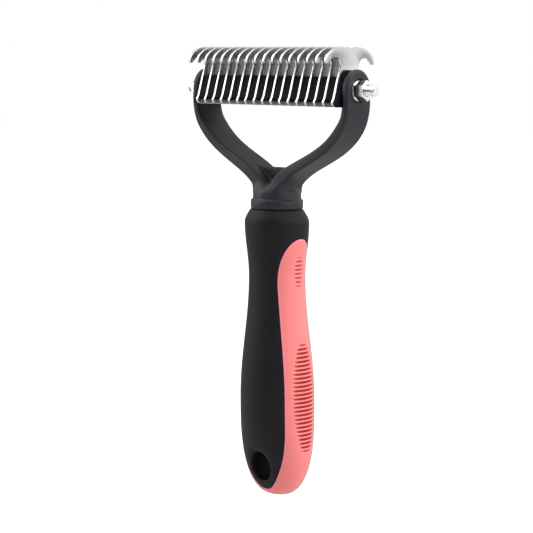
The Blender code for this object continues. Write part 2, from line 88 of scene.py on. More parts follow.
class Finish:
    """A material, or the studio's surroundings, with a shader whose sockets are fed by name. node() adds
    any node: its settings are set first, then its sockets."""

    def __init__(self, owner, shader="Principled BSDF", **sockets):
        self.owner = owner
        owner.use_nodes = True
        self.tree = owner.node_tree
        self.shader = self.tree.nodes[shader]
        self.set(**sockets)

    def set(self, **sockets):
        """Feeds the shader's own sockets; an underscore stands for the space in a socket's name."""
        for name, value in sockets.items():
            self.feed(self.shader.inputs[name.replace("_", " ")], value)

    def feed(self, socket, value):
        if isinstance(value, Value):
            self.tree.links.new(value.link, socket)
        else:
            socket.default_value = value

    def node(self, kind, settings=None, sockets=None, output=0):
        made = self.tree.nodes.new(kind)
        for name, value in (settings or {}).items():
            setattr(made, name, value)
        for name, value in (sockets or {}).items():
            self.feed(made.inputs[name], value)
        return Value(self, made.outputs[output])

    def place(self, stretch=(1.0, 1.0, 1.0)):
        """Object coordinates, stretched along each axis."""
        here = self.node("ShaderNodeTexCoord", output="Object")
        return self.node("ShaderNodeMapping", {"vector_type": "TEXTURE"}, {"Vector": here, "Scale": stretch})

    def noise(self, size, detail=2.0, stretch=(1.0, 1.0, 1.0)):
        """Noise from 0 to 1 whose features are about this many metres across."""
        sockets = {"Vector": self.place(stretch), "Scale": 1.0 / size, "Detail": detail}
        return self.node("ShaderNodeTexNoise", None, sockets)

    def fade(self, value, low, high, start=0.0, end=1.0):
        """Smoothly from start to end as value goes from low to high."""
        sockets = {"Value": value, "From Min": low, "From Max": high, "To Min": start, "To Max": end}
        return self.node("ShaderNodeMapRange", {"interpolation_type": "SMOOTHSTEP"}, sockets)

    def blend(self, factor, first, second):
        """A mix of two colours, each a colour or another mix."""
        inputs = {"Factor": factor, 6: first, 7: second}
        return self.node("ShaderNodeMix", {"data_type": "RGBA"}, inputs, output=2)

    def bump(self, height, distance, strength=1.0):
        """Raises the skin by up to this distance where the height is 1."""
        sockets = {"Strength": strength, "Distance": distance, "Height": height}
        return self.node("ShaderNodeBump", None, sockets)


def smooth_union(a, b, width):
    """The lower of two distances, rounded off over this width where they are nearly equal."""
    return np.minimum(a, b) - np.maximum(width - np.abs(a - b), 0.0) ** 2 / (4 * width)


def rounded_corner(a, b, radius):
    """The distance to a bar with sides a and b, whose edges are rounded."""
    a, b = a + radius, b + radius
    return np.minimum(np.maximum(a, b), 0.0) + np.hypot(np.maximum(a, 0.0), np.maximum(b, 0.0)) - radius


def bezier(p0, p1, p2, p3, steps):
    """A cubic curve's points: the four corners weighted by the powers of t and 1 - t."""
    t = np.linspace(0.0, 1.0, steps + 1)[:, None]
    p0, p1, p2, p3 = (np.array(p) for p in (p0, p1, p2, p3))
    return (1 - t) ** 3 * p0 + 3 * (1 - t) ** 2 * t * p1 + 3 * (1 - t) * t**2 * p2 + t**3 * p3


def ease(t):
    """0 to 1 along half a cosine wave."""
    return 0.5 - 0.5 * np.cos(pi * np.clip(t, 0.0, 1.0))


# The yoke in millimetres from the middle of the rod; the arms' centre line is in the XZ plane.
ARM_X = 40.7
ARM_HALF_THICKNESS = 2.05
ARM_RELIEF = 0.45
RELIEF_END, RELIEF_FADE = -9.5, 8.0
ARM_HALF_DEPTH = 7.2
ARM_TOP_Y, ARM_BEND_Y = 0.15, 0.75
BOSS_TOP = 8.2
ARM_EDGE = 1.1
ROOT_THICKENING = 0.22
ARM_KNEE = (23.3, -26.3)
ARM_LINE = np.concatenate([
    [(ARM_X - ARM_RELIEF, 12.0)],
    bezier((ARM_X - ARM_RELIEF, -4.0), (ARM_X - 0.25, -15.5), (31.8, -21.8), ARM_KNEE, 22),
    bezier(ARM_KNEE, (15.8, -30.3), (7.0, -33.0), (3.2, -40.5), 22)[1:],
])
WEB_TOP, WEB_SAG = -30.6, 0.6
WEB_HALF_THICKNESS, WEB_EDGE = 1.3, 0.5
WEB_HALF_WIDTH, WEB_WIDEST = 13.0, -31.0
WEB_SLANT, WEB_SLANT_LENGTH = 1.2, 1.56
NECK_RADIUS, NECK_HOLLOW = 9.8, 0.35
NECK_DOME = (-41.5, 4.1)
NECK_CUT = -46.0
WEB_FILLET, NECK_FILLET = 0.8, 2.4


def arm_relief(z):
    """Half of what is taken off the arm's inner face beside the blades, fading out below them. The arm's
    middle moves out by this much, and half its thickness shrinks by it."""
    return ARM_RELIEF * (1 - ease((RELIEF_END - z) / RELIEF_FADE))


along_arm = np.gradient(ARM_LINE, axis=0)
outwards = np.stack([-along_arm[:, 1], along_arm[:, 0]], 1) / np.linalg.norm(along_arm, axis=1)[:, None]
ARM_LINE = ARM_LINE + outwards * arm_relief(ARM_LINE[:, 1])[:, None]


def arm_distance(x, y, z):
    """Distance to the right arm, a rounded bar that follows the centre line: the shortest way to any
    stretch of the line, less half the thickness, against the distance from the arm's flat sides. Above
    the rod the sides close in half an ellipse. Eased steps thicken the root and bend the arm along Y."""
    start, along = ARM_LINE[:-1], np.diff(ARM_LINE, axis=0)
    from_x, from_z = x[..., None] - start[:, 0], z[..., None] - start[:, 1]
    t = (from_x * along[:, 0] + from_z * along[:, 1]) / (along**2).sum(1)
    t = np.clip(t, 0.0, 1.0)
    across = np.hypot(from_x - t * along[:, 0], from_z - t * along[:, 1]).min(-1)
    root = ease((-27.0 - z) / 11.0)
    bend = ease((-8.0 - z) / 16.0) - ease((-25.0 - z) / 9.0)
    y = y - ARM_TOP_Y * ease((-z - 2.0) / 8.0) - (ARM_BEND_Y - ARM_TOP_Y) * bend
    boss = np.hypot(y / ARM_HALF_DEPTH, np.maximum(z, 0.0) / BOSS_TOP) - 1.0
    side = np.where(z > 0.0, boss * ARM_HALF_DEPTH, np.abs(y) - ARM_HALF_DEPTH)
    half = (ARM_HALF_THICKNESS - arm_relief(z)) * (1 + ROOT_THICKENING * root)
    return rounded_corner(across - half, side, ARM_EDGE)


def yoke_distance(points):
    """Distance to the yoke's outside: both arms, the web and the neck, joined with fillets. The web's
    top sags as a parabola, and half an ellipsoid domes the neck."""
    x, y, z = np.abs(points[..., 0]), points[..., 1], points[..., 2]
    arms = arm_distance(x, y, z)
    web_top = z - (WEB_TOP - WEB_SAG * (1 - (x / WEB_HALF_WIDTH) ** 2))
    inside_arms = (x - WEB_HALF_WIDTH - WEB_SLANT * (z - WEB_WIDEST)) / WEB_SLANT_LENGTH
    web = rounded_corner(np.abs(y) - WEB_HALF_THICKNESS, np.maximum(web_top, inside_arms), WEB_EDGE)
    radius = np.hypot(x, y)
    middle, height = NECK_DOME
    swell = NECK_RADIUS - NECK_HOLLOW * (1 - ease((middle + 1.5 - z) / 3.5))
    dome = (np.hypot(radius / swell, np.maximum(z - middle, 0.0) / height) - 1.0) * height
    neck = np.where(z > middle, dome, radius - swell)
    body = smooth_union(smooth_union(arms, web, WEB_FILLET), neck, NECK_FILLET)
    return np.maximum(body, NECK_CUT - z)


def surface_net(distance, low, high, cell):
    """A closed surface where a distance is zero. A vertex stands in each cell of a cubic grid that the
    surface crosses, and a quad joins the four cells round each grid edge that crosses it. The vertices
    are then evened out among their neighbours and drawn onto the surface along the distance's slope."""
    grid = [np.arange(a, b, cell) for a, b in zip(low, high)]
    slices = [np.stack(np.meshgrid(grid[0], [y], grid[2], indexing="ij"), -1) for y in grid[1]]
    solid = np.stack([distance(part)[:, 0] < 0.0 for part in slices], 1)
    nx, ny, nz = (n - 1 for n in solid.shape)
    corners = sum(
        solid[i:nx + i, j:ny + j, k:nz + k].astype(int) for i in (0, 1) for j in (0, 1) for k in (0, 1)
    )
    crossed = (corners > 0) & (corners < 8)
    number = np.cumsum(crossed).reshape(crossed.shape) - 1
    points = (np.argwhere(crossed) + 0.5) * cell + [g[0] for g in grid]
    faces = []
    for axis in range(3):
        turned_solid, turned_number = np.moveaxis(solid, axis, 0), np.moveaxis(number, axis, 0)
        change = turned_solid[:-1, 1:-1, 1:-1] != turned_solid[1:, 1:-1, 1:-1]
        i, j, k = np.nonzero(change)
        round_edge = [(i, j, k), (i, j + 1, k), (i, j + 1, k + 1), (i, j, k + 1)]
        faces.append(np.stack([turned_number[at] for at in round_edge], 1))
    faces = np.concatenate(faces)
    ends = np.concatenate([np.stack([faces[:, a], faces[:, a - 1]], 1) for a in range(4)])
    ends = np.concatenate([ends, ends[:, ::-1]])
    neighbours = np.bincount(ends[:, 0])[:, None]
    rounds, evening_rounds, stay, flattest = 7, 4, 0.4, 0.05
    nudge = 1e-4 * np.eye(3)
    for step in range(rounds):
        if step < evening_rounds:
            totals = [np.bincount(ends[:, 0], points[ends[:, 1], axis]) for axis in range(3)]
            points = stay * points + (1 - stay) * np.stack(totals, 1) / neighbours
        here = distance(points)
        slope = np.stack([distance(points + n) - here for n in nudge], 1) / nudge[0, 0]
        points = points - slope * (here / (slope**2).sum(1).clip(flattest))[:, None]
    return points, faces


def grid_faces(rows, columns, closed_rows=False, closed_columns=False):
    """Quads over a grid of points that are numbered row by row, joined round where it is closed."""
    index = np.arange(rows * columns).reshape(rows, columns)
    if closed_rows:
        index = np.concatenate([index, index[:1]])
    if closed_columns:
        index = np.concatenate([index, index[:, :1]], 1)
    corners = [index[:-1, :-1], index[:-1, 1:], index[1:, 1:], index[1:, :-1]]
    return np.stack(corners, -1).reshape(-1, 4)


MERGE_DISTANCE = 2e-7


def solid_object(name, points, faces, sharp=35.0, **point_values):
    """A closed mesh object from points in millimetres from the rod's middle. Doubles are merged, faces
    are turned outwards, and edges sharper than this many degrees stay crisp."""
    mesh = bpy.data.meshes.new(name)
    mesh.from_pydata(points * MM + ROD_MIDDLE, [], faces)
    for key, values in point_values.items():
        mesh.attributes.new(key, "FLOAT", "POINT").data.foreach_set("value", values)
    bm = bmesh.new()
    bm.from_mesh(mesh)
    bmesh.ops.remove_doubles(bm, verts=bm.verts[:], dist=MERGE_DISTANCE)
    bmesh.ops.recalc_face_normals(bm, faces=bm.faces[:])
    bm.to_mesh(mesh)
    bm.free()
    mesh.shade_smooth()
    mesh.set_sharp_from_angle(angle=radians(sharp))
    made = bpy.data.objects.new(name, mesh)
    bpy.context.scene.collection.objects.link(made)
    return made


def lathe(name, profile, columns, axis="X", sharp=35.0):
    """A turned body: a profile of (along, radius) points in millimetres, carried round X or Z. One that
    starts and ends on the axis is closed by its poles, any other is joined into a ring."""
    along, radius = np.array(profile).T
    turn = np.linspace(0.0, 2 * pi, columns, endpoint=False)
    side, up = radius[:, None] * np.cos(turn), radius[:, None] * np.sin(turn)
    along = np.broadcast_to(along[:, None], side.shape)
    points = np.stack([along, side, up] if axis == "X" else [side, up, along], -1).reshape(-1, 3)
    faces = grid_faces(len(profile), columns, closed_rows=radius[0] > 0.0, closed_columns=True)
    return solid_object(name, points, faces, sharp)


def combine(target, tool, operation, sharp=35.0):
    """Joins a tool to a target, or cuts with it, for good, and removes the tool."""
    modifier = target.modifiers.new("combine", "BOOLEAN")
    modifier.operation = operation
    modifier.solver = "EXACT"
    modifier.object = tool
    graph = bpy.context.evaluated_depsgraph_get()
    result = bpy.data.meshes.new_from_object(target.evaluated_get(graph))
    target.modifiers.clear()
    target.data = result
    result.shade_smooth()
    result.set_sharp_from_angle(angle=radians(sharp))
    bpy.data.objects.remove(tool)


def finish_piece(piece, material, body, slot, *nodes):
    """Gives a piece its material and its body, and hides the CAD nodes that it stands for. The slot is not
    used.
    """
    piece.data.materials.clear()
    piece.data.materials.append(material)
    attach(piece, body)
    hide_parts(*nodes)


COLLAR_BOTTOM = -47.8
COLLAR_TOP = -44.2
COLLAR_RADIUS = 10.6
TANG_RADIUS = 4.6
TANG_END = -89.8
collar_profile = [
    (-43.0, 0.0), (-43.0, 9.0), (-43.3, NECK_RADIUS - 0.05), (-43.75, NECK_RADIUS + 0.06),
    (COLLAR_TOP + 0.15, NECK_RADIUS + 0.22), (COLLAR_TOP, NECK_RADIUS + 0.42),
    (COLLAR_TOP - 0.14, COLLAR_RADIUS - 0.12), (COLLAR_TOP - 0.36, COLLAR_RADIUS),
    (COLLAR_BOTTOM + 0.3, COLLAR_RADIUS), (COLLAR_BOTTOM + 0.09, COLLAR_RADIUS - 0.09),
    (COLLAR_BOTTOM, COLLAR_RADIUS - 0.3), (COLLAR_BOTTOM, TANG_RADIUS + 0.4),
    (COLLAR_BOTTOM - 0.4, TANG_RADIUS),
]
GROOVE_DEPTH = 0.5
for groove_top in COLLAR_BOTTOM - np.array([9.0, 19.0, 29.0]):
    collar_profile += [(groove_top, TANG_RADIUS), (groove_top - 0.5, TANG_RADIUS - GROOVE_DEPTH)]
    collar_profile += [(groove_top - 2.5, TANG_RADIUS - GROOVE_DEPTH), (groove_top - 3.0, TANG_RADIUS)]
collar_profile += [(TANG_END + 1.0, TANG_RADIUS), (TANG_END, TANG_RADIUS - 1.0), (TANG_END, 0.0)]

YOKE_CORNERS = ((-44.0, -11.5, -47.0), (44.0, 11.5, 9.5))
YOKE_CELL = 0.42
yoke = solid_object("forked_yoke", *surface_net(yoke_distance, *YOKE_CORNERS, YOKE_CELL))
combine(yoke, lathe("collar_and_tang", collar_profile, 128, axis="Z"), "UNION")
ARM_OUTSIDE = ARM_X + ARM_HALF_THICKNESS - ARM_RELIEF
RECESS_FLOOR = ARM_OUTSIDE - 1.2
RECESS_RADIUS = 4.75
ROD_HOLE_RADIUS = 2.15
for side in (-1, 1):
    mouth = ARM_OUTSIDE
    recess = [
        (RECESS_FLOOR, 0.0), (RECESS_FLOOR, RECESS_RADIUS), (mouth - 0.25, RECESS_RADIUS),
        (mouth - 0.07, RECESS_RADIUS + 0.06), (mouth + 0.05, RECESS_RADIUS + 0.3),
        (mouth + 2.0, RECESS_RADIUS + 2.2), (mouth + 2.0, 0.0),
    ]
    hole = [(ARM_X - 4.0, 0.0), (ARM_X - 4.0, ROD_HOLE_RADIUS), (mouth, ROD_HOLE_RADIUS), (mouth, 0.0)]
    for name, profile in (("recess", recess), ("rod_hole", hole)):
        cutter = lathe(name, [(side * along, radius) for along, radius in profile], 96)
        combine(yoke, cutter, "DIFFERENCE")

nylon = Finish(bpy.data.materials.new("yoke_nylon"), Metallic=0.0, Specular_IOR_Level=0.32)
texture = nylon.noise(0.16 * MM, 3.0)
handling = nylon.noise(9.0 * MM, 4.0)
nylon.set(
    Base_Color=nylon.blend(handling, (0.0175, 0.0168, 0.0225, 1.0), (0.0220, 0.0212, 0.0280, 1.0)),
    Roughness=0.42 + 0.10 * handling + 0.10 * texture,
    Normal=nylon.bump(texture, 0.02 * MM, 0.6),
)
finish_piece(yoke, nylon.owner, "handle_and_yoke", "yoke_black", "yoke")

# ---------------------------------------------------------------------------------------------------
# Handle core. A hard black moulding that carries the two soft ones. The yoke's tang is pressed into
# its socket, and the hang hole goes through it near the butt, where its wall can be seen.

GRIP_TOP = -48.1
SHOULDER_Z, SHOULDER_RADIUS = -53.5, 13.05
WAIST_Z, WAIST_RADIUS = -75.0, 11.5
PALM_Z, PALM_RADIUS = -126.0, 15.2
BUTT_Z, BUTT_POWER, BUTT_ROOT = -166.3, 2.6, 2.8
LEAN = 0.0275
OVAL, BUTT_OVAL, BUTT_OVAL_REACH = 0.03, 0.10, 26.0
SOFT_THICKNESS = 2.0
quarter = pi / 2
HOLE_Z, HOLE_HALF_WIDTH, HOLE_HALF_HEIGHT = -153.2, 5.3, 6.2


def handle_radius(z):
    """Mean radius: a sine shoulder, half-cosine waist and palm, closed by a superellipse."""
    rise = np.clip((GRIP_TOP - z) / (GRIP_TOP - SHOULDER_Z), 0.0, 1.0)
    start = COLLAR_RADIUS + 0.1
    shoulder = start + (SHOULDER_RADIUS - start) * np.sin(quarter * rise) ** 1.15
    waist = (WAIST_RADIUS - SHOULDER_RADIUS) * ease((SHOULDER_Z - z) / (SHOULDER_Z - WAIST_Z))
    palm = (PALM_RADIUS - WAIST_RADIUS) * ease((WAIST_Z - z) / (WAIST_Z - PALM_Z))
    down = np.clip((PALM_Z - z) / (PALM_Z - BUTT_Z), 0.0, 1.0)
    return (shoulder + waist + palm) * (1 - down**BUTT_POWER) ** (1 / BUTT_ROOT)


def handle_points(angle, z, inset):
    """Points under the handle's skin: angle in degrees from -Y towards +X. The section widens towards
    the butt, and the axis leans back a little below the collar."""
    radius = np.maximum(handle_radius(z) - inset, 0.0)
    wide = OVAL + BUTT_OVAL * ease((PALM_Z - z) / BUTT_OVAL_REACH)
    lean = LEAN * np.maximum(COLLAR_BOTTOM - z, 0.0)
    turn = np.radians(angle)
    x = radius * (1 + wide) * np.sin(turn)
    y = lean - radius * (1 - wide) * np.cos(turn)
    return np.stack(np.broadcast_arrays(x, y, z), -1)


def hang_hole_cutter():
    """An oval bar along Y: an ellipse carried from front to back and closed at both ends."""
    turn = np.linspace(0.0, 2 * pi, 96, endpoint=False)
    x, z = HOLE_HALF_WIDTH * np.cos(turn), HOLE_Z + HOLE_HALF_HEIGHT * np.sin(turn)
    y = np.array([-40.0, -40.0, 40.0, 40.0])[:, None]
    open_end = np.array([0.0, 1.0, 1.0, 0.0])[:, None]
    points = np.stack(np.broadcast_arrays(x * open_end, y, HOLE_Z + (z - HOLE_Z) * open_end), -1)
    return solid_object("hang_hole", points.reshape(-1, 3), grid_faces(4, 96, closed_columns=True))


CORE_TOP, CORE_END = -48.3, -161.8
core_z = np.concatenate([np.linspace(CORE_TOP, PALM_Z, 48), np.linspace(PALM_Z, CORE_END, 44)[1:]])
core_z = np.concatenate([[CORE_TOP], core_z, [CORE_END]])
CORE_GAP, TO_AXIS = 0.25, 100.0
core_inset = np.full(len(core_z), SOFT_THICKNESS + CORE_GAP)
core_inset[[0, -1]] = TO_AXIS
core_points = handle_points(np.arange(0.0, 360.0, 5.0)[None], core_z[:, None], core_inset[:, None])
core_faces = grid_faces(len(core_z), 72, closed_columns=True)
core = solid_object("grip_core", core_points.reshape(-1, 3), core_faces)
SOCKET_RADIUS = TANG_RADIUS + 0.15
SOCKET_TOP, SOCKET_END = -46.0, TANG_END - 1.0
socket = [(SOCKET_TOP, 0.0), (SOCKET_TOP, SOCKET_RADIUS), (SOCKET_END, SOCKET_RADIUS), (SOCKET_END, 0.0)]
combine(core, lathe("tang_socket", socket, 48, axis="Z"), "DIFFERENCE")
combine(core, hang_hole_cutter(), "DIFFERENCE")

hard = Finish(bpy.data.materials.new("core_plastic"), Metallic=0.0, Specular_IOR_Level=0.12)
marks = hard.noise(1.2 * MM, 3.0)
hard.set(
    Base_Color=hard.blend(marks, (0.0025, 0.0025, 0.0030, 1.0), (0.0040, 0.0040, 0.0050, 1.0)),
    Roughness=0.55 + 0.15 * marks,
    Normal=hard.bump(hard.noise(0.25 * MM), 0.02 * MM, 0.5),
)
finish_piece(core, hard.owner, "handle_and_yoke", "core_black", "handle_core")

# ---------------------------------------------------------------------------------------------------
# Black grip. Soft-touch elastomer moulded over the core: a ring at the shoulder that runs down into a
# long tongue on the front and one on the back, with a softly rounded mouth to the hang hole.

PANEL_TOP = -59.5
PANEL_START = -77.0
PANEL_WAIST_ANGLE = 41.5
SEAM_SETTLE = 0.06
PANEL_PALM_ANGLE, PANEL_PALM_Z = 52.0, -125.0
TONGUE_START, TONGUE_END, TONGUE_POWER, TONGUE_ROOT = -125.0, -163.0, 2.0, 3.0
SEAM_ROUND, SEAM_GAP = 0.35, 0.05
RIM_ROLL, RIM_ROLL_ABOVE = 1.5, 1.3
RIM_DEPTH, RIM_DEPTH_ABOVE = 0.8, -0.15
LIP_ROUND = 0.4


def seam_angle(z):
    """Half-angle in degrees that the black tongue covers: an ellipse under the coral panel's top, a
    slow widening to the palm, and a superellipse round the tongue's end."""
    up = np.clip((z - PANEL_START) / (PANEL_TOP - PANEL_START), 0.0, 1.0)
    t = np.clip((PANEL_START - z) / (PANEL_START - PANEL_PALM_Z), 0.0, 1.0)
    t = t * t / (t + SEAM_SETTLE) * (1 + SEAM_SETTLE)
    down = np.clip((TONGUE_START - z) / (TONGUE_START - TONGUE_END), 0.0, 1.0)
    waist = PANEL_WAIST_ANGLE + (90.0 - PANEL_WAIST_ANGLE) * (1 - np.sqrt(1 - up * up))
    palm = (PANEL_PALM_ANGLE - PANEL_WAIST_ANGLE) * np.sin(quarter * t)
    return (waist + palm) * (1 - down**TONGUE_POWER) ** (1 / TONGUE_ROOT)


def sine_steps(start, end, count):
    """Heights from start to end, closest together at the end."""
    return start + (end - start) * np.sin(quarter * np.linspace(0.0, 1.0, count + 1))


seam_z = np.concatenate([
    sine_steps(PANEL_START, PANEL_TOP, 90)[::-1],
    np.linspace(PANEL_START, TONGUE_START, 60)[1:-1],
    sine_steps(TONGUE_START, TONGUE_END, 90),
])
seam_line = np.stack([np.radians(seam_angle(seam_z)) * handle_radius(seam_z), seam_z])


def seam_distance(angle, z):
    """Distance over the skin to the seam, from an angle measured from the front or the back line."""
    angle = np.abs((angle + 90.0) % 180.0 - 90.0)
    across = (np.radians(angle) * handle_radius(z))[..., None] - seam_line[0]
    down = np.broadcast_to(z, angle.shape)[..., None] - seam_line[1]
    return np.sqrt((across**2 + down**2).min(-1))


def roll(distance, radius):
    """How far a skin has rolled inwards at this distance from its edge: a quarter circle."""
    near = np.clip(1 - distance / radius, 0.0, 1.0)
    return radius * (1 - np.sqrt(1 - near * near))


def shell(name, facings, z, angles, inset, free, **values):
    """A closed shell of two strips. Each strip's outer and inner skins are grids over the heights z
    and the angles about its facing, with walls down its free rows and along its first row."""
    points, faces, extras, first = [], [], {key: [] for key in values}, 0
    rows, columns = angles.shape
    for facing in facings:
        heights = np.broadcast_to(z[:, None], angles.shape)
        for layer in (0, 1):
            skin = handle_points(facing + angles, *inset(facing + angles, heights, layer))
            points.append(skin.reshape(-1, 3))
            faces.append(grid_faces(rows, columns) + first + layer * rows * columns)
            for key, value in values.items():
                extras[key].append(value(facing + angles, heights).ravel())
        outer = np.arange(rows * columns).reshape(rows, columns) + first
        inner = outer + rows * columns
        for at in ((free, 0), (free, -1), (0, slice(None))):
            faces.append(np.stack([outer[at][:-1], outer[at][1:], inner[at][1:], inner[at][:-1]], 1))
        first += 2 * rows * columns
    extras = {key: np.concatenate(value) for key, value in extras.items()}
    return solid_object(name, np.concatenate(points), np.concatenate(faces), 60.0, **extras)


def hole_rim(angle, z):
    """How far the skin sinks round the hang hole: a lead-in that is widest at the hole's top."""
    x = handle_points(angle, z, 0.0)[..., 0]
    oval = np.hypot(x / HOLE_HALF_WIDTH, (z - HOLE_Z) / HOLE_HALF_HEIGHT)
    above = np.clip((z - HOLE_Z) / HOLE_HALF_HEIGHT, 0.0, 1.0)
    from_hole = np.maximum(oval - 1.0, 0.0) * HOLE_HALF_WIDTH
    return roll(from_hole, RIM_ROLL + RIM_ROLL_ABOVE * above) * (RIM_DEPTH + RIM_DEPTH_ABOVE * above)


def black_inset(angle, z, layer):
    """Height and depth under the skin: the inner layer is even, the outer one rolls in at its edges."""
    if layer:
        return z, SOFT_THICKNESS
    lip = roll(GRIP_TOP - z, LIP_ROUND)
    return z, roll(seam_distance(angle, z), SEAM_ROUND) + lip + hole_rim(angle, z)


near_seam = np.array([1.0, 0.9975, 0.992, 0.984, 0.97])
middle = np.linspace(0.955, -0.955, 75)
share = np.concatenate([near_seam, middle, -near_seam[::-1]])
black_z = np.concatenate([
    GRIP_TOP - np.array([0.0, 0.02, 0.06, 0.13, 0.24, 0.4]),
    np.linspace(GRIP_TOP - 0.7, PANEL_TOP + 0.8, 20),
    PANEL_TOP + np.array([0.45, 0.33, 0.22, 0.12, 0.05]),
    sine_steps(PANEL_START, PANEL_TOP, 34)[::-1],
    np.linspace(PANEL_START, TONGUE_START, 48)[1:-1],
    sine_steps(TONGUE_START, TONGUE_END, 84),
])
apex_row = int(np.argmin(np.abs(black_z - PANEL_TOP)))
black = shell(
    "black_soft_grip", (0.0, 180.0), black_z, seam_angle(black_z)[:, None] * share, black_inset,
    np.arange(apex_row, len(black_z)),
)
combine(black, hang_hole_cutter(), "DIFFERENCE", 60.0)

soft = Finish(bpy.data.materials.new("soft_touch_black"), Metallic=0.0, Specular_IOR_Level=0.2)
grain = soft.noise(0.22 * MM, 2.0)
rubbed = soft.noise(14.0 * MM, 4.0)
soft.set(
    Base_Color=soft.blend(rubbed, (0.0072, 0.0068, 0.0098, 1.0), (0.0100, 0.0095, 0.0132, 1.0)),
    Roughness=0.50 + 0.12 * rubbed + 0.06 * grain,
    Normal=soft.bump(grain, 0.015 * MM, 0.5),
)
finish_piece(black, soft.owner, "handle_and_yoke", "soft_black", "black_grip")

# ---------------------------------------------------------------------------------------------------
# Coral grip. The second soft moulding: a long panel down each side of the handle, the two joined
# round the butt. Lens-shaped finger ribs are cut across each panel in a short and a long group.

RIB_PITCH = 1.67
RIB_WAVE, RIB_SIDES, RIB_ENDS = 1.2, 0.6, 3.0
RIB_GROUPS = ((-66.2, -79.8, 91.0, 16.0, 0.48), (-100.0, -148.4, 91.5, 28.0, 0.80))


def rib_depth(angle, z):
    """Depth of the ribs' grooves: a cosine wave down the panel, faded to nothing at the sides and ends
    of a lens-shaped field. A group is its top, bottom, middle and half-angle in degrees, and depth."""
    round_side = 180.0 - np.abs(180.0 - angle % 360.0)
    depth = 0.0
    for top, bottom, middle_angle, half_angle, deepest in RIB_GROUPS:
        centre, half = (top + bottom) / 2, (top - bottom) / 2
        along = np.clip(1 - ((z - centre) / half) ** 2, 0.0, 1.0)
        field = half_angle * np.sqrt(along) + 1e-6
        across = np.clip(1 - ((round_side - middle_angle) / field) ** 2, 0.0, 1.0)
        wave = 0.5 - 0.5 * np.cos(2 * pi * (top - z) / RIB_PITCH)
        depth = depth + deepest * wave**RIB_WAVE * across**RIB_SIDES * np.minimum(1.0, RIB_ENDS * along)
    return depth


INNER_SHARE = 0.6


def coral_angle(z):
    """The coral panel's edge, a hair outside the black tongue's."""
    above = z + SEAM_GAP
    clearance = np.degrees(SEAM_GAP / WAIST_RADIUS)
    return np.where(above > TONGUE_END + 1e-6, np.minimum(seam_angle(above) + clearance, 90.0), 0.0)


def coral_inset(angle, z, layer):
    """Height and depth under the skin: the inner layer closes below the core, the outer one has ribs."""
    if layer:
        below = np.clip((TONGUE_END - z) / (TONGUE_END - BUTT_Z), 0.0, 1.0)
        return z + SOFT_THICKNESS * below, np.minimum(SOFT_THICKNESS, handle_radius(z) * INNER_SHARE)
    return z, roll(seam_distance(angle, z), SEAM_ROUND) + rib_depth(angle, z)


coral_top, coral_end = PANEL_TOP - SEAM_GAP, TONGUE_END - SEAM_GAP
(upper_top, upper_end), (lower_top, lower_end) = (group[:2] for group in RIB_GROUPS)
ROWS_PER_RIB = 9
rib_row = RIB_PITCH / ROWS_PER_RIB
coral_z = np.concatenate([
    sine_steps(upper_top, coral_top, 22)[::-1],
    np.arange(upper_top - rib_row, upper_end, -rib_row),
    np.linspace(upper_end, lower_top, 16),
    np.arange(lower_top - rib_row, lower_end, -rib_row),
    sine_steps(lower_end, coral_end, 26),
    sine_steps(coral_end, BUTT_Z, 16)[1:],
])
near_seam = np.array([1.0, 0.998, 0.994, 0.988, 0.978])
share = np.concatenate([near_seam, np.linspace(0.965, -0.965, 43), -near_seam[::-1]])
end_row = int(np.argmin(np.abs(coral_z - coral_end)))
coral_half = 90.0 - coral_angle(coral_z)
# The shell stores each point's groove depth and its distance from the seam as attributes. The coral finish
# uses them as masks for painted shade in the rib grooves and a painted highlight along the seam.
coral = shell(
    "coral_soft_grip", (90.0, 270.0), coral_z, coral_half[:, None] * share, coral_inset,
    np.arange(0, end_row + 1), groove=rib_depth, seam=seam_distance,
)

coral_soft = Finish(bpy.data.materials.new("soft_touch_coral"), Metallic=0.0, Specular_IOR_Level=0.25)
grain = coral_soft.noise(0.22 * MM, 2.0)
rubbed = coral_soft.noise(12.0 * MM, 4.0)
# The groove depth read here is the mask for painted shade in the rib grooves.
groove = coral_soft.node("ShaderNodeAttribute", {"attribute_name": "groove"}, output="Fac")
# The seam distance read here is the mask for a painted highlight along the seam.
seam = coral_soft.node("ShaderNodeAttribute", {"attribute_name": "seam"}, output="Fac")
body = coral_soft.blend(rubbed, (0.91, 0.232, 0.226, 1.0), (0.94, 0.252, 0.245, 1.0))
# Painted shade: where the rib grooves are deep, the base colour is blended towards a deep red that stands in
# for the shade inside them.
body = coral_soft.blend(coral_soft.fade(groove, 0.10, 0.50), body, (0.40, 0.016, 0.012, 1.0))
# Painted highlight: within about a millimetre of the seam the colour is drawn towards lilac, a sheen painted
# along the seam's rounded edge.
body = coral_soft.blend(coral_soft.fade(seam, 0.9, 0.2, 0.0, 0.7), body, (0.72, 0.36, 0.52, 1.0))
coral_soft.set(
    Base_Color=body,
    Roughness=0.52 + 0.12 * rubbed + 0.05 * grain,
    Normal=coral_soft.bump(grain, 0.015 * MM, 0.5),
)
finish_piece(coral, coral_soft.owner, "handle_and_yoke", "soft_coral", "coral_grip")

# ---------------------------------------------------------------------------------------------------
# Rod. A length of M4 studding with a rolled thread, bright zinc-nickel plated, with chamfered ends. It
# runs through both arms and carries the whole pack.

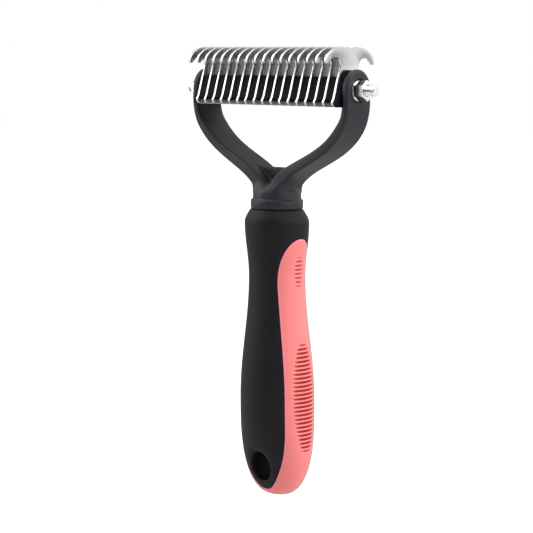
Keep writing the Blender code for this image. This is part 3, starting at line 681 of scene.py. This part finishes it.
THREAD_PITCH = 0.7
ROD_RADIUS, ROOT_RADIUS, ROD_END_RADIUS = 2.0, 1.57, 1.5
ROD_HALF_LENGTH = 50.5
ROWS_PER_THREAD, ROD_COLUMNS = 8, 28
rod_x = np.arange(-ROD_HALF_LENGTH, ROD_HALF_LENGTH + 0.01, THREAD_PITCH / ROWS_PER_THREAD)
rod_x = rod_x * ROD_HALF_LENGTH / rod_x[-1]
turn = np.linspace(0.0, 2 * pi, ROD_COLUMNS, endpoint=False)
phase = (rod_x[:, None] / THREAD_PITCH - turn / (2 * pi)) % 1.0
crest = np.clip(1.35 - 2.7 * np.abs(phase - 0.5), 0.0, 1.0)
radius = ROOT_RADIUS + (ROD_RADIUS - ROOT_RADIUS) * crest
radius = np.minimum(radius, ROD_END_RADIUS + ROD_HALF_LENGTH - np.abs(rod_x[:, None]))
radius = np.concatenate([radius[:1] * 0, radius, radius[-1:] * 0])
rod_x = np.concatenate([rod_x[:1], rod_x, rod_x[-1:]])[:, None] + 0 * radius
rod_points = np.stack([rod_x, radius * np.cos(turn), radius * np.sin(turn)], -1)
rod_faces = grid_faces(len(rod_points), ROD_COLUMNS, closed_columns=True)
rod = solid_object("m4_rod", rod_points.reshape(-1, 3), rod_faces, 28.0)

plated = Finish(bpy.data.materials.new("bright_plating"), Metallic=1.0)
haze = plated.noise(2.5 * MM, 4.0)
scuff = plated.noise(0.12 * MM, 2.0)
plated.set(
    Base_Color=plated.blend(haze, (0.80, 0.80, 0.81, 1.0), (0.88, 0.88, 0.87, 1.0)),
    Roughness=0.12 + 0.14 * haze,
    Normal=plated.bump(scuff, 0.004 * MM, 0.4),
)
finish_piece(rod, plated.owner, "handle_and_yoke", "plated_steel", "threaded_rod")

# ---------------------------------------------------------------------------------------------------
# Blades. Seventeen stampings in 1 mm stainless plate, strung on the rod. Every one has a hook on the
# front, and every other one has a second hook on the back. The hooks' inner edges are ground thin, and
# all other edges are tumbled and polished bright.

BLADE_COUNT = 17
BLADE_PITCH = 4.6
BLADE_HALF = 0.5
BLADE_BOTTOM = -6.4
CREST, CREST_DIP = (4.8, 16.85), 0.75
THROAT, THROAT_RADIUS = (8.75, 9.35), 3.25
TIP, TIP_RADIUS = (13.35, 11.15), 1.05
NECK_HALF = THROAT[0] - THROAT_RADIUS
FOOT_HALF, FOOT_CORNER = 10.0, 2.2
ROD_CLEARANCE = 2.12
HOLE_COLUMNS = 48
EDGE_STEPS = np.array([(1.0, 0.0), (0.3, 0.3), (0.0, 1.0)])
EDGE_WIDTH, EDGE_DEPTH = 0.14, 0.12
GRIND_WIDTH, GRIND_DEPTH, GRIND_REACH = 0.70, 0.26, 2.2


def arc(centre, radius, start, end, steps):
    """Points round a circle from start to end, in degrees from +Y towards +Z."""
    angles = np.radians(np.linspace(start, end, steps + 1))
    return np.stack([centre[0] + radius * np.cos(angles), centre[1] + radius * np.sin(angles)], 1)


def stem_half(z):
    """Half the stem's depth below the throat: it widens evenly downwards."""
    return NECK_HALF + (FOOT_HALF - NECK_HALF) * (THROAT[1] - z) / (THROAT[1] - BLADE_BOTTOM)


def foot_corner(half, bottom, radius, steps=10):
    """The rounded corner between a side and the bottom."""
    return arc((half - radius, bottom + radius), radius, -10.0, -90.0, steps)


def crest_half():
    """The top edge from its shallow dip to the crest, half a cosine wave."""
    y = np.linspace(0.0, CREST[0], 12)
    return np.stack([y, CREST[1] - CREST_DIP * (0.5 + 0.5 * np.cos(pi * y / CREST[0]))], 1)


def hooked_half():
    """Half an outline with its hook, from the middle of the top to the middle of the bottom."""
    back = bezier(CREST, (9.4, CREST[1]), (13.9, 14.6), (TIP[0] + TIP_RADIUS, TIP[1]), 20)
    parts = [crest_half(), back[1:], arc(TIP, TIP_RADIUS, -12.0, -150.0, 12)]
    parts += [arc(THROAT, THROAT_RADIUS, 40.0, 180.0, 30)]
    parts += [np.linspace((NECK_HALF, THROAT[1]), (stem_half(-3.0), -3.0), 7)[1:]]
    return np.concatenate(parts + [foot_corner(FOOT_HALF, BLADE_BOTTOM, FOOT_CORNER)])


def plain_half():
    """Half an outline without a hook: a rounded shoulder over the stem's plain side."""
    shoulder = bezier(CREST, (5.6, CREST[1]), (NECK_HALF, 15.8), (NECK_HALF, 13.5), 12)
    side = np.array([(NECK_HALF, 11.5), (NECK_HALF, THROAT[1]), (stem_half(-3.0), -3.0)])
    foot = foot_corner(FOOT_HALF, BLADE_BOTTOM, FOOT_CORNER)
    return np.concatenate([crest_half(), shoulder[1:], side, foot])


def whole_outline(front, back):
    """Both halves as one loop. The front one is turned to -Y."""
    front = front[front[:, 0] > 1e-6] * (-1.0, 1.0)
    return np.concatenate([back, front[::-1]])


def throat_grind(outline):
    """1 along the inner edge of a hook, fading to 0 within a short way of it."""
    reach = np.hypot(np.abs(outline[:, 0]) - THROAT[0], outline[:, 1] - THROAT[1]) - THROAT_RADIUS
    return np.clip(1 - reach / GRIND_REACH, 0.0, 1.0) ** 1.5


def fill_flats(points, faces, middle_x):
    """The faces of a plate's skin with its two flats filled, each between its outline and its hole."""
    mesh = bpy.data.meshes.new("open_plate")
    mesh.from_pydata(points, [], faces)
    bm = bmesh.new()
    bm.from_mesh(mesh)
    rims = [edge for edge in bm.edges if edge.is_boundary]
    for side in (-1, 1):
        rim = [edge for edge in rims if side * (edge.verts[0].co.x - middle_x) > 0.0]
        bmesh.ops.triangle_fill(bm, use_beauty=True, edges=rim)
    bm.to_mesh(mesh)
    bm.free()
    filled = [tuple(face.vertices) for face in mesh.polygons]
    bpy.data.meshes.remove(mesh)
    return filled


def edged_plate(name, outline, middle_x, half, width, depth, hole_radius):
    """A plate across X with a hole. Rings of the outline, drawn in by width and set back by depth at
    each face, make the dressed edge between the two flats. Both sizes may vary along the outline."""
    following, before = np.roll(outline, -1, 0), np.roll(outline, 1, 0)
    along = (following - before) / np.linalg.norm(following - before, axis=1)[:, None]
    area = (outline[:, 0] * following[:, 1] - following[:, 0] * outline[:, 1]).sum()
    inward = np.stack([-along[:, 1], along[:, 0]], 1) * np.sign(area)
    width, depth = (np.broadcast_to(v, len(outline))[:, None] for v in (width, depth))
    draw, back = np.concatenate([EDGE_STEPS, EDGE_STEPS[::-1]]).T[:, :, None, None]
    side = np.repeat([-1.0, 1.0], len(EDGE_STEPS))[:, None, None]
    rings = np.concatenate([middle_x + side * (half - depth * back), outline + inward * width * draw], -1)
    turn = np.linspace(0.0, 2 * pi, HOLE_COLUMNS, endpoint=False)
    face_x = middle_x + np.array([[-half], [half]])
    hole = np.stack(np.broadcast_arrays(face_x, hole_radius * np.cos(turn), hole_radius * np.sin(turn)), -1)
    points = np.concatenate([rings.reshape(-1, 3), hole.reshape(-1, 3)])
    edge_faces = grid_faces(len(rings), len(outline), closed_columns=True)
    hole_faces = grid_faces(2, HOLE_COLUMNS, closed_columns=True) + rings.size // 3
    faces = fill_flats(points, np.concatenate([edge_faces, hole_faces]), middle_x)
    return solid_object(name, points, faces, 18.0)


steel = Finish(bpy.data.materials.new("ground_stainless"), Metallic=1.0)
lay = steel.noise(0.09 * MM, 3.0, (1.0, 1.0, 14.0))
cloud = steel.noise(2.2 * MM, 4.0)
pits = steel.noise(0.35 * MM, 3.0)
steel.set(
    Base_Color=steel.blend(cloud, (0.60, 0.60, 0.61, 1.0), (0.71, 0.71, 0.715, 1.0)),
    Roughness=0.14 + 0.10 * cloud + 0.10 * lay + steel.fade(pits, 0.55, 0.75, 0.0, 0.12),
    Normal=steel.bump(lay, 0.004 * MM, 0.35),
)
hook = hooked_half()
outlines = (whole_outline(hook, hook), whole_outline(hook, plain_half()))
for number in range(BLADE_COUNT):
    outline = outlines[number % 2]
    grind = throat_grind(outline) * ((outline[:, 0] < 0.0) | (number % 2 == 0))
    x = (number - (BLADE_COUNT - 1) / 2) * BLADE_PITCH
    blade = edged_plate(
        f"steel_blade_{number + 1:02d}", outline, x, BLADE_HALF,
        EDGE_WIDTH + GRIND_WIDTH * grind, EDGE_DEPTH + GRIND_DEPTH * grind, ROD_CLEARANCE,
    )
    finish_piece(blade, steel.owner, "blade_pack", "blade_steel", f"blade_{number + 1:02d}")

# ---------------------------------------------------------------------------------------------------
# Spacers. Moulded black acetal plates between the blades, a little smaller than the blades' stems, and
# at each end a taller one that sits against the arm.

SPACER_TOP, SPACER_BOTTOM = 5.4, -4.7
SPACER_SETBACK = 0.35
SPACER_EDGE, END_SPACER_EDGE = 0.2, 0.25
SPACER_PLAY = 0.03
END_SPACER_TOP = 7.9


def spacer_outline(top, bottom, setback, corner):
    """The stem's outline, set back, with rounded corners."""
    upper, lower = stem_half(top) - setback, stem_half(bottom) - setback
    top_corner = arc((upper - corner, top - corner), corner, 90.0, 10.0, 8)
    half = np.concatenate([[(0.0, top)], top_corner, foot_corner(lower, bottom, 1.5, 8)])
    return whole_outline(half, half)


acetal = Finish(bpy.data.materials.new("spacer_acetal"), Metallic=0.0, Specular_IOR_Level=0.06)
mould = acetal.noise(0.3 * MM, 3.0)
flow = acetal.noise(4.0 * MM, 3.0)
acetal.set(
    Base_Color=acetal.blend(flow, (0.0035, 0.0035, 0.0060, 1.0), (0.0060, 0.0060, 0.0090, 1.0)),
    Roughness=0.55 + 0.14 * flow,
    Normal=acetal.bump(mould, 0.015 * MM, 0.5),
)
inner_outline = spacer_outline(SPACER_TOP, SPACER_BOTTOM, SPACER_SETBACK, 1.0)
inner_half = (BLADE_PITCH - 2 * BLADE_HALF) / 2 - SPACER_PLAY
for number in range(BLADE_COUNT - 1):
    x = (number + 1 - BLADE_COUNT / 2) * BLADE_PITCH
    spacer = edged_plate(
        f"acetal_spacer_{number + 1:02d}", inner_outline, x, inner_half, SPACER_EDGE, SPACER_EDGE,
        ROD_CLEARANCE,
    )
    finish_piece(spacer, acetal.owner, "blade_pack", "spacer_black", f"spacer_{number + 1:02d}")

end_outline = spacer_outline(END_SPACER_TOP, BLADE_BOTTOM, SPACER_SETBACK, 2.8)
for name, side in (("left", -1), ("right", 1)):
    inside = (BLADE_COUNT - 1) / 2 * BLADE_PITCH + BLADE_HALF + 0.05
    outside = ARM_X - ARM_HALF_THICKNESS + ARM_RELIEF - SPACER_PLAY
    spacer = edged_plate(
        f"acetal_end_{name}", end_outline, side * (inside + outside) / 2, (outside - inside) / 2,
        END_SPACER_EDGE, END_SPACER_EDGE, ROD_CLEARANCE,
    )
    finish_piece(spacer, acetal.owner, "handle_and_yoke", "spacer_black", f"end_spacer_{name}")

# ---------------------------------------------------------------------------------------------------
# Washers and nuts. A plain plated washer lies in the recess of each arm, and an M4 hex nut with
# chamfered corners pulls the pack together on it.

WASHER_RADIUS, WASHER_THICKNESS, WASHER_EDGE = 4.0, 0.8, 0.12
NUT_FLAT, NUT_THICKNESS, NUT_BORE = 3.5, 4.6, 2.04
NUT_CHAMFER, NUT_CHAMFER_SLOPE, COUNTERSINK = 0.12, 1.73, 0.35
NUT_COLUMNS = 144
SEAT_PLAY = 0.05
washer_x = RECESS_FLOOR + SEAT_PLAY
nut_x = washer_x + WASHER_THICKNESS + SEAT_PLAY


def washer_profile(start):
    """A flat ring's section with rounded edges."""
    e, end = WASHER_EDGE, start + WASHER_THICKNESS
    outside = [
        (start, WASHER_RADIUS - e), (start + 0.3 * e, WASHER_RADIUS - 0.3 * e), (start + e, WASHER_RADIUS),
        (end - e, WASHER_RADIUS), (end - 0.3 * e, WASHER_RADIUS - 0.3 * e), (end, WASHER_RADIUS - e),
    ]
    hole = [(end, ROD_CLEARANCE + e), (end - e, ROD_CLEARANCE), (start + e, ROD_CLEARANCE)]
    return [(start, ROD_CLEARANCE + e)] + outside + hole


def nut_points(side):
    """A hexagon whose radius is cut by a cone at each end, with a countersunk bore inside it."""
    half = NUT_THICKNESS / 2
    depth = np.array([0.0, 0.03, 0.08, 0.14, 0.20, 0.27, 0.34, 0.42])
    x = np.concatenate([depth, NUT_THICKNESS - depth[::-1]])
    turn = np.linspace(0.0, 2 * pi, NUT_COLUMNS, endpoint=False)
    from_flat = (turn + pi / 6) % (pi / 3) - pi / 6
    cone = NUT_FLAT - NUT_CHAMFER + NUT_CHAMFER_SLOPE * (half - np.abs(x - half))
    outer = np.minimum(NUT_FLAT / np.cos(from_flat), cone[:, None])
    bore_x = NUT_THICKNESS - np.array([0.0, COUNTERSINK, NUT_THICKNESS - COUNTERSINK, NUT_THICKNESS])
    bore = np.array([COUNTERSINK, 0.0, 0.0, COUNTERSINK])[:, None] + NUT_BORE + 0 * outer[:4]
    radius = np.concatenate([outer, bore])
    x = side * (nut_x + np.concatenate([x, bore_x]))[:, None] + 0 * radius
    return np.stack([x, radius * np.cos(turn), radius * np.sin(turn)], -1)


for name, side in (("left", -1), ("right", 1)):
    profile = [(side * along, radius) for along, radius in washer_profile(washer_x)]
    washer = lathe(f"plain_washer_{name}", profile + profile[:1], 96)
    finish_piece(washer, plated.owner, f"washer_{name}", "plated_steel", f"washer_{name}")
    points = nut_points(side)
    faces = grid_faces(len(points), NUT_COLUMNS, closed_rows=True, closed_columns=True)
    nut = solid_object(f"hex_nut_{name}", points.reshape(-1, 3), faces, 24.0)
    finish_piece(nut, plated.owner, f"nut_{name}", "plated_steel", f"nut_{name}")

# ---------------------------------------------------------------------------------------------------
# Studio. A plain pale floor well below the tool, white surroundings that are dimmer on the camera's
# side, and broad softboxes to the left, to the right and above.

FLOOR_DROP = 0.075
floor_z = cad_box[0].z - FLOOR_DROP
FLOOR_REACH = 6.0
near, far = -FLOOR_REACH, FLOOR_REACH
floor_corners = [(near, near, floor_z), (far, near, floor_z), (far, far, floor_z), (near, far, floor_z)]
floor_mesh = bpy.data.meshes.new("studio_floor")
floor_mesh.from_pydata(floor_corners, [], [(0, 1, 2, 3)])
floor = bpy.data.objects.new("studio_floor", floor_mesh)
bpy.context.scene.collection.objects.link(floor)
paper = Finish(bpy.data.materials.new("studio_paper"), Roughness=0.9, Specular_IOR_Level=0.1)
fibre = paper.noise(0.02, 3.0)
paper.set(Base_Color=paper.blend(fibre, (0.60, 0.60, 0.60, 1.0), (0.64, 0.64, 0.64, 1.0)))
seen_directly = paper.node("ShaderNodeLightPath", output="Is Camera Ray")
paper.set(Emission_Color=paper.blend(seen_directly, (0.0, 0.0, 0.0, 1.0), (1.0, 1.0, 1.0, 1.0)))
paper.set(Emission_Strength=0.9)
floor_mesh.materials.append(paper.owner)

CAMERA_AZIMUTH, CAMERA_ELEVATION, CAMERA_ROLL = 43.0, 6.373, 0.874
CAMERA_DISTANCE = 0.676
CAMERA_LENS, SENSOR = 113.68, 36.0
AIM_RIGHT, AIM_UP = -4.934 * MM, -71.18 * MM
azimuth, elevation, tilt = (radians(v) for v in (CAMERA_AZIMUTH, CAMERA_ELEVATION, CAMERA_ROLL))
sight = Vector((-sin(azimuth) * cos(elevation), cos(azimuth) * cos(elevation), -sin(elevation)))
level = Vector((cos(azimuth), sin(azimuth), 0.0))
upright = level.cross(sight)
camera_right = cos(tilt) * level + sin(tilt) * upright
camera_up = cos(tilt) * upright - sin(tilt) * level
aim = Vector(ROD_MIDDLE) + AIM_RIGHT * camera_right + AIM_UP * camera_up
camera_data = bpy.data.cameras.new("camera")
camera_data.lens, camera_data.sensor_width = CAMERA_LENS, SENSOR
camera = bpy.data.objects.new("camera", camera_data)
bpy.context.scene.collection.objects.link(camera)
axes = Matrix((camera_right, camera_up, -sight)).transposed().to_4x4()
camera.matrix_world = Matrix.Translation(aim - CAMERA_DISTANCE * sight) @ axes
bpy.context.scene.camera = camera


def softbox(name, direction, distance, size, power, target=(0.0, 0.0, 0.05)):
    """A rectangular area light at this direction and distance from the target, aimed at it."""
    light = bpy.data.lights.new(name, "AREA")
    light.shape = "RECTANGLE"
    light.size, light.size_y = size
    light.energy = power
    lamp = bpy.data.objects.new(name, light)
    bpy.context.scene.collection.objects.link(lamp)
    away = Vector(direction).normalized()
    lamp.location = Vector(target) + away * distance
    lamp.rotation_euler = away.to_track_quat("Z", "Y").to_euler()


softbox("left_softbox", (-0.74, -0.48, 0.52), 1.1, (0.7, 1.2), 9.0)
softbox("right_softbox", (0.78, 0.12, 0.62), 1.1, (1.0, 1.2), 12.0)
softbox("top_softbox", (0.15, -0.1, 1.0), 1.1, (0.9, 0.9), 6.0)

world = bpy.data.worlds.new("studio_white")
bpy.context.scene.world = world
white = Finish(world, "Background", Color=(1.0, 1.0, 1.0, 1.0))
direction = white.node("ShaderNodeTexCoord", output="Generated")
dot = {"operation": "DOT_PRODUCT"}
to_camera = white.node("ShaderNodeVectorMath", dot, {0: direction, 1: -sight}, output="Value")
to_right = white.node("ShaderNodeVectorMath", dot, {0: direction, 1: level}, output="Value")
strength = white.fade(to_camera, -0.4, 0.6, 1.0, 0.16) * white.fade(to_right, 0.1, 0.9, 0.5, 1.5)
seen = white.node("ShaderNodeLightPath", output="Is Camera Ray")
white.set(Strength=white.node("ShaderNodeMath", {"operation": "MAXIMUM"}, {0: strength, 1: seen}))
bpy.context.scene.view_settings.view_transform = "Standard"
bpy.context.scene.view_settings.look = "None"
